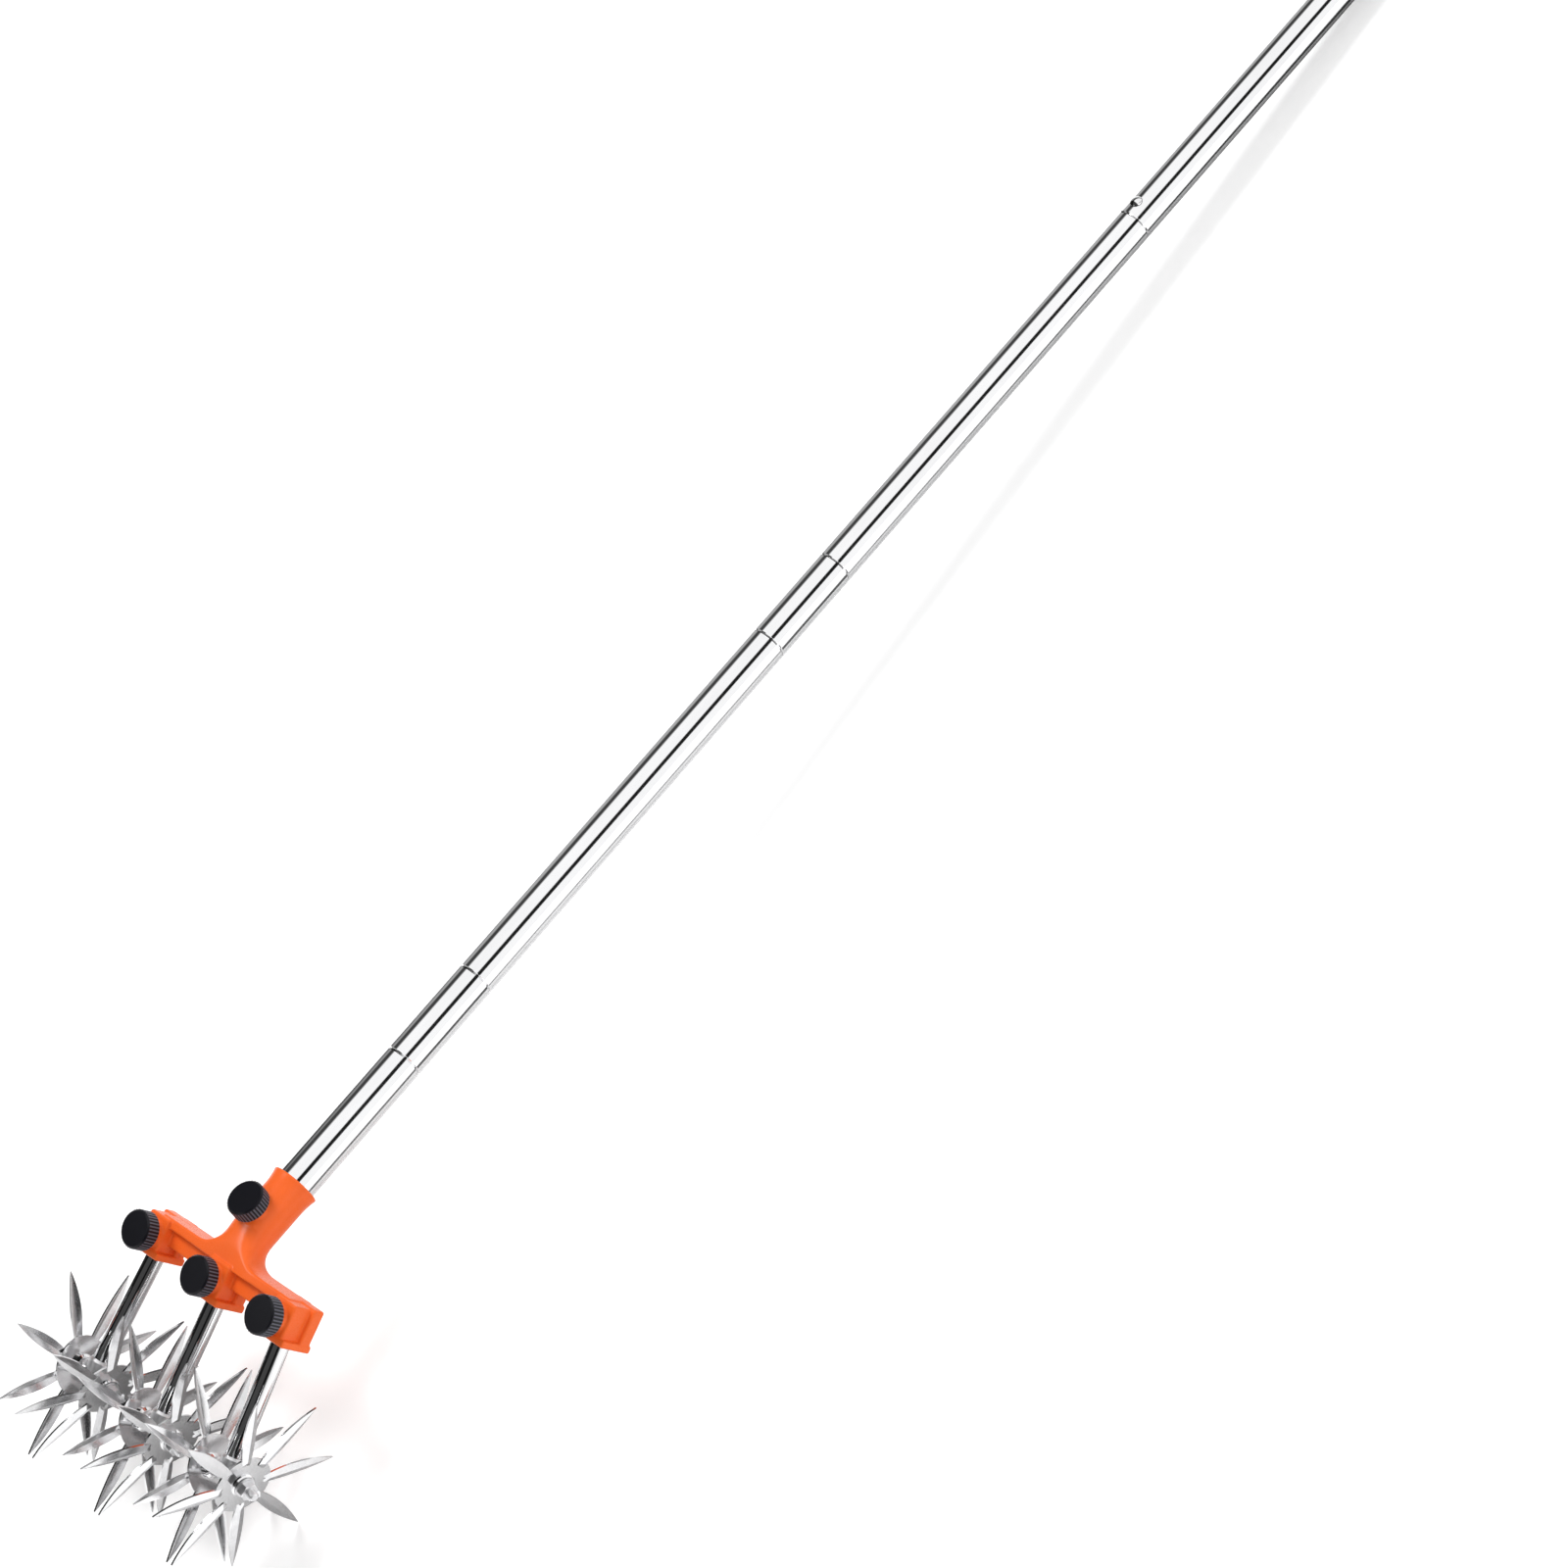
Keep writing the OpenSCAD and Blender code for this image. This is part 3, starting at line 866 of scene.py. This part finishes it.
@dataclass
class Head:
    """The moulded head, with the soft edges and hollow blends of a moulding; sizes are in mm."""

    tool: ToolFrame
    orange: Material
    brass: Material
    bar_back: float = 10.5
    bar_h: float = 26.0
    ledge_front: float = 9.0
    ledge_foot: float = 20.0
    ledge_edge: float = 1.2
    front_edge: float = 1.5
    wall_front: float = 4.0
    wall_foot: float = 9.5
    wall_drop: float = 1.0
    wall_edge: float = 1.0
    wall_blend: float = 0.8
    plate_half: float = 12.25
    plate_front: float = 2.0
    plate_foot: float = 1.5
    plate_edge: float = 1.4
    block_half: float = 9.25
    block_front: float = 11.0
    block_in: float = 2.0
    block_h: float = 25.0
    block_edge: float = 1.6
    block_blend: float = 1.0
    lip_half: float = 13.0
    lip_out: float = 1.0
    lip_t: float = 4.5
    lip_edge: float = 1.1
    neck_r: float = 14.06
    neck_front: float = 9.0
    neck_round: float = 8.0
    neck_blend: float = 15.0
    mouth_edge: float = 0.9
    flare: float = 1.6
    flare_from: float = -12.0
    flare_to: float = 0.0
    sleeve_wall: float = 0.9
    sleeve_past: float = 1.5
    sleeve_below: float = 9.0
    sleeve_blend: float = 1.0
    socket_r: float = 6.06
    socket_top: float = 22.0
    bore_r: float = 12.56
    bore_depth: float = 36.0
    hole_edge: float = 0.8
    cut_past: float = 9.0
    boss_r: float = 8.0
    boss_out: float = 16.0
    boss_blend: float = 1.6
    neck_boss_out: float = 15.06
    stud_up: float = 13.0
    stud_hole: float = 3.3
    insert_r: float = 4.53
    insert_in: float = 8.0
    neck_insert_in: float = 13.0
    screw_down: float = 28.0
    grid_low: Triple = (-77.0, -20.0, -5.0)
    grid_high: Triple = (77.0, 37.0, 87.0)
    grid_step: float = 0.65

    def screws(self) -> list[Screw]:
        """Finds the four clamping screws, three on the bar and one on the neck.

        Returns:
            The screws.
        """
        front = np.array([0.0, -1.0, 0.0])
        found = []
        for reel in Reel:
            mouth, up = self.tool.socket(reel)
            start = mouth + self.stud_up * up
            found.append(Screw(reel.name.lower(), start, front, self.boss_out, self.insert_in))
        mouth, axis = self.tool.neck_line()
        start = mouth - self.screw_down * axis
        out = np.array([0.0, -axis[2], axis[1]])
        found.append(Screw("neck", start, out, self.neck_boss_out, self.neck_insert_in))
        return found

    def neck(self, p: np.ndarray) -> np.ndarray:
        """Distance field of the neck.

        A leaning tube, its radius growing with the square of the rise towards the mouth, is cut flat in
        front; a sleeve keeps a thin wall around the bore where the flat front would open it.

        Args:
            p: points in mm in the head's frame.

        Returns:
            Distance of each point.
        """
        mouth, axis = self.tool.neck_line()
        along, away = Field.around(p, mouth, axis)
        rise = np.clip((along - self.flare_from) / (self.flare_to - self.flare_from), 0.0, 1.0)
        tube = away - self.neck_r - self.flare * rise * rise
        tube = Field.meet(tube, -self.neck_front - p[..., 1], self.neck_round)
        reach = (-self.bore_depth - self.sleeve_past, -self.sleeve_below)
        sleeve = Field.rod(p, mouth, axis, reach, self.bore_r + self.sleeve_wall)
        return Field.meet(Field.join(tube, sleeve, self.sleeve_blend), along, self.mouth_edge)

    def bar(self, p: np.ndarray) -> np.ndarray:
        """Distance field of the neck and the bar without its blocks.

        The neck runs down into a ledge along the bar, with a wide hollow blend where they meet and a flat
        front; under the ledge stands a wall that is set back.

        Args:
            p: points in mm in the head's frame.

        Returns:
            Distance of each point.
        """
        half = self.tool.rod_pitch
        ledge_low = (-half, -self.ledge_front, self.ledge_foot)
        ledge = Field.box(p, ledge_low, (half, self.bar_back, self.bar_h), self.ledge_edge)
        form = Field.join(self.neck(p), ledge, self.neck_blend)
        form = Field.meet(form, -self.ledge_front - p[..., 1], self.front_edge)
        form = np.maximum(form, self.ledge_foot - p[..., 2])
        wall_low = (-half, -self.wall_front, self.wall_foot)
        wall_high = (half, self.bar_back, self.bar_h - self.wall_drop)
        return Field.join(form, Field.box(p, wall_low, wall_high, self.wall_edge), self.wall_blend)

    def field(self, p: np.ndarray) -> np.ndarray:
        """Distance field of the moulding.

        To the bar and neck are joined, at each rod, a back plate, a block and a lip, and the four screw
        bosses; sockets, bore, screw holes and insert holes are taken out.

        Args:
            p: points in mm in the head's frame.

        Returns:
            Distance of each point.
        """
        form = self.bar(p)
        plate_depth = (self.plate_front, self.bar_back)
        block_depth = (-self.block_front, self.plate_front + self.block_in)
        lip_depth = (-self.block_front - self.lip_out, self.bar_back + self.lip_out)
        forms = (
            (self.plate_half, plate_depth, (self.plate_foot, self.bar_h), self.plate_edge),
            (self.block_half, block_depth, (0.0, self.block_h), self.block_edge),
            (self.lip_half, lip_depth, (0.0, self.lip_t), self.lip_edge),
        )
        for reel in Reel:
            x, _, z = self.tool.socket(reel)[0]
            for half, (front, back), (foot, top), edge in forms:
                block = Field.box(p, (x - half, front, z + foot), (x + half, back, z + top), edge)
                form = Field.join(form, block, self.block_blend)
        screws = self.screws()
        for screw in screws:
            boss = Field.rod(p, screw.start, screw.out, (0.0, screw.boss), self.boss_r)
            form = Field.join(form, boss, self.boss_blend)
        for reel in Reel:
            mouth, up = self.tool.socket(reel)
            hole = Field.rod(p, mouth, up, (-self.cut_past, self.socket_top), self.socket_r)
            form = Field.meet(form, -hole, self.hole_edge)
        mouth, axis = self.tool.neck_line()
        bore = Field.rod(p, mouth, axis, (-self.bore_depth, self.cut_past), self.bore_r)
        form = Field.meet(form, -bore, self.hole_edge)
        for screw in screws:
            for inner, radius in ((0.0, self.stud_hole), (screw.insert, self.insert_r)):
                hole = Field.rod(p, screw.start, screw.out, (inner, screw.boss + self.cut_past), radius)
                form = np.maximum(form, -hole)
        return form

    def build(self) -> None:
        """Skins the moulding's field and shows it in place of the CAD node."""
        points, quads = Skin(self.field, self.grid_low, self.grid_high, self.grid_step).build()
        piece = Shape.piece("head_moulding", self.tool.points(points), quads, self.orange)
        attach(piece, "head")
        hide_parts("head")
        LOG.info("built %s", piece.name)

    def dress(self) -> None:
        """Dresses the CAD nodes of the head and its inserts."""
        Shape.dress("head", self.orange)
        Shape.dress("rod_inserts", self.brass)
        Shape.dress("neck_insert", self.brass)


@dataclass
class ClampScrews:
    """The four thumb knobs and their studs."""

    head: Head
    bright: Material
    black: MouldedPlastic

    def dress(self) -> None:
        """Dresses knobs and studs; each knob's ridges are found from its own axis."""
        tool = self.head.tool
        for screw in self.head.screws():
            plain = asdict(self.black) | {"name": f"knob_{screw.name}_plastic"}
            spot, axis = tuple(tool.points(screw.start)), tuple(tool.vector(screw.out))
            Shape.dress(f"knob_{screw.name}", RibbedPlastic(**plain, spot=spot, axis=axis).build())
            Shape.dress(f"stud_{screw.name}", self.bright)


@dataclass
class Reels:
    """The three rods with their axles, nuts and star wheels; sizes are in mm."""

    tool: ToolFrame
    bright: Material
    zinc: Material
    star: Material
    thread_from: float = 23.0
    thread_to: float = 27.6
    thread_r: float = 2.95
    thread_pitch: float = 1.0
    thread_depth: float = 0.3
    thread_fade: float = 0.5
    around: int = 48
    per_turn: int = 12

    def dress(self) -> None:
        """Dresses the reels' CAD nodes."""
        for reel in Reel:
            place = reel.name.lower()
            Shape.dress(f"rod_{place}", self.bright)
            for part in ("axle", "inner_nuts", "washers", "lock_nuts"):
                Shape.dress(f"{part}_{place}", self.zinc)
            for side in Side:
                Shape.dress(f"star_{place}_{side.name.lower()}", self.star)
                Shape.dress(f"bush_{place}_{side.name.lower()}", self.bright)

    def thread(self, reel: Reel, side: Side) -> None:
        """Cuts a screw thread over a stub's free end.

        The surface runs along the stub and around it; its radius rises and falls as a triangle of the
        distance along the stub in pitches plus the turn around it, which runs left-handed about the axis so
        that the faces look outwards and the thread is right-handed. Both ends fade to the plain radius.

        Args:
            reel: the reel.
            side: the side of the reel.
        """
        start, axis = self.tool.stub(reel, side)
        count = int((self.thread_to - self.thread_from) / self.thread_pitch * self.per_turn) + 1
        along = np.linspace(self.thread_from, self.thread_to, count)[:, None]
        angle = np.linspace(0.0, 2 * np.pi, self.around, endpoint=False)[None, :]
        phase = np.mod(along / self.thread_pitch + angle / (2 * np.pi), 1.0)
        ridge = 1.0 - np.abs(2.0 * phase - 1.0)
        inward = np.minimum(along - self.thread_from, self.thread_to - along)
        fade = np.clip(inward / self.thread_fade, 0.0, 1.0)
        radius = self.thread_r + self.thread_depth * ridge * fade
        side_x = np.array([0.0, 1.0, 0.0])
        side_y = np.cross(side_x, axis)
        round_about = np.cos(angle)[..., None] * side_x + np.sin(angle)[..., None] * side_y
        local = start + along[..., None] * axis + radius[..., None] * round_about
        place = reel.name.lower()
        piece = Shape.grid(f"thread_{place}_{side.name.lower()}", self.tool.points(local), True, self.zinc)
        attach(piece, f"reel_{place}")
        LOG.info("built %s", piece.name)

    def build(self) -> None:
        """Builds the threads of all six stubs."""
        for reel in Reel:
            for side in Side:
                self.thread(reel, side)


@dataclass(frozen=True)
class Lamp:
    """A square soft lamp that points at a spot; a mirrored one gives gloss alone, the others none."""

    name: str
    place: Triple
    size: float
    power: float
    mirrored: bool = False

    def build(self, target: np.ndarray) -> None:
        """Hangs the lamp.

        Args:
            target: point in metres that the lamp points at.
        """
        data = bpy.data.lights.new(self.name, "AREA")
        data.size = self.size
        data.energy = self.power
        lamp = Shape.linked(self.name, data)
        lamp.visible_glossy = self.mirrored
        lamp.visible_diffuse = not self.mirrored
        spot = np.array(self.place)
        back = (spot - target) / np.linalg.norm(spot - target)
        right = np.cross([0.0, 0.0, 1.0], back)
        right /= np.linalg.norm(right)
        lamp.matrix_world = Shape.stand(right, np.cross(back, right), back, spot)


@dataclass
class Studio:
    """White floor, soft light, dark panels for the steel to mirror, and the photograph's camera.

    The camera's place in mm and its directions are in the head's frame; lamps and floor are in metres.
    """

    tool: ToolFrame
    camera_at: Triple = (1670.5, -1720.6, 472.5)
    right: Triple = (0.6885, 0.5911, 0.4201)
    up: Triple = (-0.3366, -0.2526, 0.9071)
    lens: float = 94.22
    sensor: float = 36.0
    sight: float = 60.0
    floor_half: float = 9.0
    floor_dark: float = 0.9
    floor_light: float = 0.93
    floor_grain: float = 900.0
    floor_rough: float = 0.9
    floor_sheen: float = 0.1
    glow: float = 0.25
    mirrored_glow: float = 0.35
    shade_reach: float = 0.3
    shade_samples: int = 6
    shade_open: Pair = (0.45, 0.95)
    shade_grey: Pair = (0.04, 0.9)
    clear_open: Pair = (0.86, 0.99)
    sky: float = 0.62
    shine: float = 1.0
    stripes: tuple[Pair, ...] = (
        (-180.0, 0.42), (-107.0, 0.42), (-98.0, 0.05), (-80.0, 0.05), (-71.0, 1.0),
        (-12.5, 1.0), (-10.0, 0.01), (7.0, 0.01), (9.5, 1.0), (180.0, 1.0),
    )
    # Painted shadow of the pole for mirrors: grey by the floor's distance from the pole over its height
    # there.
    pole_shadow_greys: tuple[Pair, ...] = (
        (-2.0, 0.9), (0.75, 0.9), (0.9, 0.08), (1.45, 0.08), (1.65, 1.0), (4.0, 1.0),
    )
    pole_shadow_fade: float = 0.04
    panel_along: Triple = (0.25, 1.0, 0.0)
    panel_near: Pair = (-0.09, 0.01)
    panel_far: Pair = (-0.66, -0.74)
    panel_grey: float = 0.055
    key: Lamp = Lamp("key", (-1.05, 0.15, 2.35), 0.9, 38.0)
    fill: Lamp = Lamp("fill", (2.2, -0.3, 1.6), 1.8, 23.0)
    glint_at: Triple = (0.0, 5.0, 45.0)
    glint_from: Triple = (-0.45, -0.25, 0.857)
    glint_away: float = 0.9
    glint_size: float = 0.2
    glint_power: float = 1.9

    def camera(self) -> None:
        """Puts the camera where the photograph was taken from."""
        data = bpy.data.cameras.new("camera")
        data.sensor_width = self.sensor
        data.lens = self.lens
        data.clip_end = self.sight
        piece = Shape.linked("camera", data)
        right = self.tool.vector(self.right)
        back = np.cross(right, self.tool.vector(self.up))
        back /= np.linalg.norm(back)
        spot = self.tool.points(np.array(self.camera_at))
        piece.matrix_world = Shape.stand(right, np.cross(back, right), back, spot)
        bpy.context.scene.camera = piece

    def pole_shadow(self, b: NodeBoard) -> Node:
        """Painted shadow of the pole on the floor along it, which only its mirrored image shows.

        The grey follows the distance from the pole's plan line over the pole's height there, and fades out
        before the head.

        Args:
            b: the floor's node board.

        Returns:
            Node that gives the brightness.
        """
        mouth = self.tool.points(self.tool.neck_line()[0])
        axis = self.tool.pole_axis
        fall = axis[2] / axis[1]
        place = b.add("ShaderNodeSeparateXYZ")
        b.link(b.coords(), "Vector", place, "Vector")
        line = {1: fall, 2: mouth[2] - fall * mouth[1]}
        height = b.add("ShaderNodeMath", line, operation="MULTIPLY_ADD")
        b.link(place, "Y", height, 0)
        ratio = b.add("ShaderNodeMath", operation="DIVIDE")
        b.link(place, "X", ratio, 0)
        b.link(height, 0, ratio, 1)
        ramp = b.ramp(ratio, 0, list(self.pole_shadow_greys))
        beside_pole = b.remap(place, "Y", (mouth[1] - self.pole_shadow_fade, mouth[1]))
        shown = b.add("ShaderNodeMix", {MIX_FLOAT_A: 1.0}, data_type="FLOAT")
        b.link(beside_pole, "Result", shown, "Factor")
        b.link(ramp, "Color", shown, MIX_FLOAT_B)
        return shown

    def floor(self) -> None:
        """Lays the white floor.

        It glows a little to the camera. Mirrors see it darker close to the tool and glowing further away.
        """
        h = self.floor_half
        corners = np.array([[[-h, -h, 0.0], [-h, h, 0.0]], [[h, -h, 0.0], [h, h, 0.0]]])
        b = NodeBoard("floor_paper")
        grain = b.noise(b.coords(), self.floor_grain, detail=2.0)
        colour = b.tint(grain, (self.floor_dark,) * 3, (self.floor_light,) * 3)
        path = b.add("ShaderNodeLightPath")
        reach = {"Distance": self.shade_reach}
        close = b.add("ShaderNodeAmbientOcclusion", reach, samples=self.shade_samples)
        shade = b.remap(close, "AO", self.shade_open, self.shade_grey)
        # painted shadow of the pole, which only mirrors see
        pole_shadow = self.pole_shadow(b)
        mixed = b.add("ShaderNodeMix", data_type="RGBA")
        b.link(path, "Is Glossy Ray", mixed, "Factor")
        b.link(colour, "Color", mixed, MIX_COLOUR_A)
        b.link(b.combine("MULTIPLY", shade, pole_shadow), 0, mixed, MIX_COLOUR_B)
        b.link(mixed, MIX_COLOUR_OUT, b.shader, "Base Color")
        b.shader.inputs["Roughness"].default_value = self.floor_rough
        b.shader.inputs["Specular IOR Level"].default_value = self.floor_sheen
        seen = b.add("ShaderNodeMath", {1: self.glow}, operation="MULTIPLY")
        b.link(path, "Is Camera Ray", seen, 0)
        mirrored = b.add("ShaderNodeMath", {1: self.mirrored_glow}, operation="MULTIPLY")
        b.link(path, "Is Glossy Ray", mirrored, 0)
        clear = b.combine("MULTIPLY", b.remap(close, "AO", self.clear_open), pole_shadow)
        glow = b.combine("ADD", seen, b.combine("MULTIPLY", mirrored, clear))
        b.link(glow, 0, b.shader, "Emission Strength")
        b.shader.inputs["Emission Color"].default_value = (1.0, 1.0, 1.0, 1.0)
        piece = Shape.grid("floor", corners, False, b.material)

    def surround(self) -> None:
        """Sets the even surrounding light, with dark panels and stripes that only mirrors see.

        Around the pole the brightness follows the angle from the viewer; low towards the wheels and the
        left stands one large dark panel.
        """
        world = bpy.data.worlds.new("studio")
        bpy.context.scene.world = world
        world.use_nodes = True
        b = TreeBoard(world.node_tree)
        output = b.add("ShaderNodeOutputWorld")
        even = b.add("ShaderNodeBackground", {"Color": (1.0, 1.0, 1.0, 1.0), "Strength": self.sky})
        panels = b.add("ShaderNodeBackground", {"Strength": self.shine})
        path = b.add("ShaderNodeLightPath")
        mix = b.add("ShaderNodeMixShader")
        b.link(path, "Is Glossy Ray", mix, 0)
        b.link(even, 0, mix, 1)
        b.link(panels, 0, mix, 2)
        b.link(mix, 0, output, "Surface")
        where = b.add("ShaderNodeTexCoord")
        axis = self.tool.pole_axis
        view = self.tool.points(np.array(self.camera_at)) - self.tool.points(self.tool.neck_line()[0])
        toward = view - axis * (view @ axis)
        toward /= np.linalg.norm(toward)
        ways = (np.cross(axis, toward), toward, self.panel_along)
        aside, ahead, along = (b.vector("DOT_PRODUCT", where, "Generated", tuple(way)) for way in ways)
        angle = b.combine("ARCTAN2", aside, ahead, "Value")
        ramp = b.ramp(angle, 0, [(math.radians(degrees), grey) for degrees, grey in self.stripes])
        greys = (self.panel_grey, 1.0)
        near = b.remap(along, "Value", self.panel_near, greys)
        far = b.remap(along, "Value", self.panel_far, greys)
        panel = b.combine("MAXIMUM", near, far)
        b.link(b.combine("MULTIPLY", ramp, panel), 0, panels, "Color")

    def light(self) -> None:
        """Hangs two large soft lamps that mirrors do not show, and a small one for the head's gloss."""
        for lamp in (self.key, self.fill):
            lamp.build(np.zeros(3))
        head = self.tool.points(np.array(self.glint_at))
        place = tuple(head + self.glint_away * np.array(self.glint_from))
        Lamp("glint", place, self.glint_size, self.glint_power, mirrored=True).build(head)

    def build(self) -> None:
        """Builds floor, light and camera."""
        self.floor()
        self.surround()
        self.light()
        self.camera()
        bpy.context.scene.view_settings.view_transform = "Standard"
        LOG.info("built studio")


def main() -> None:
    """Builds and dresses every sub-assembly in order."""
    logging.basicConfig(level=logging.INFO, format="%(message)s")
    tool = ToolFrame()
    up_pole, up_rod = tuple(tool.pole_axis), tuple(tool.rod_axis)
    tube = DrawnSteel("tube_steel", (0.96, 0.96, 0.97), 0.08, up_pole, line_depth=6.0e-7, spread=0.03)
    plate = DrawnSteel("bright_plate", (0.92, 0.92, 0.93), 0.06, up_rod, line_depth=4.0e-7, spread=0.03)
    zinc = PressedSteel("zinc_plate", (0.9, 0.9, 0.91), 0.3, scuff=0.08)
    star = PressedSteel("star_plate", (0.8, 0.8, 0.81), 0.1, scuff=0.06)
    orange = MouldedPlastic("orange_plastic", (0.87, 0.135, 0.022), 0.28, sheen=0.22)
    jet = (0.003, 0.003, 0.006)
    black = MouldedPlastic("black_plastic", jet, 0.33, grain=1.0e-5, wave=2.0e-5, cloud=0.2)
    brass = DrawnSteel("brass", (0.78, 0.6, 0.27), 0.25, up_rod)
    bright = plate.build()
    Pole(tube.build(), bright, black.build()).dress()
    head = Head(tool, orange.build(), brass.build())
    head.dress()
    head.build()
    ClampScrews(head, bright, black).dress()
    reels = Reels(tool, bright, zinc.build(), star.build())
    reels.dress()
    reels.build()
    Studio(tool).build()


if __name__ == "__main__":
    main()
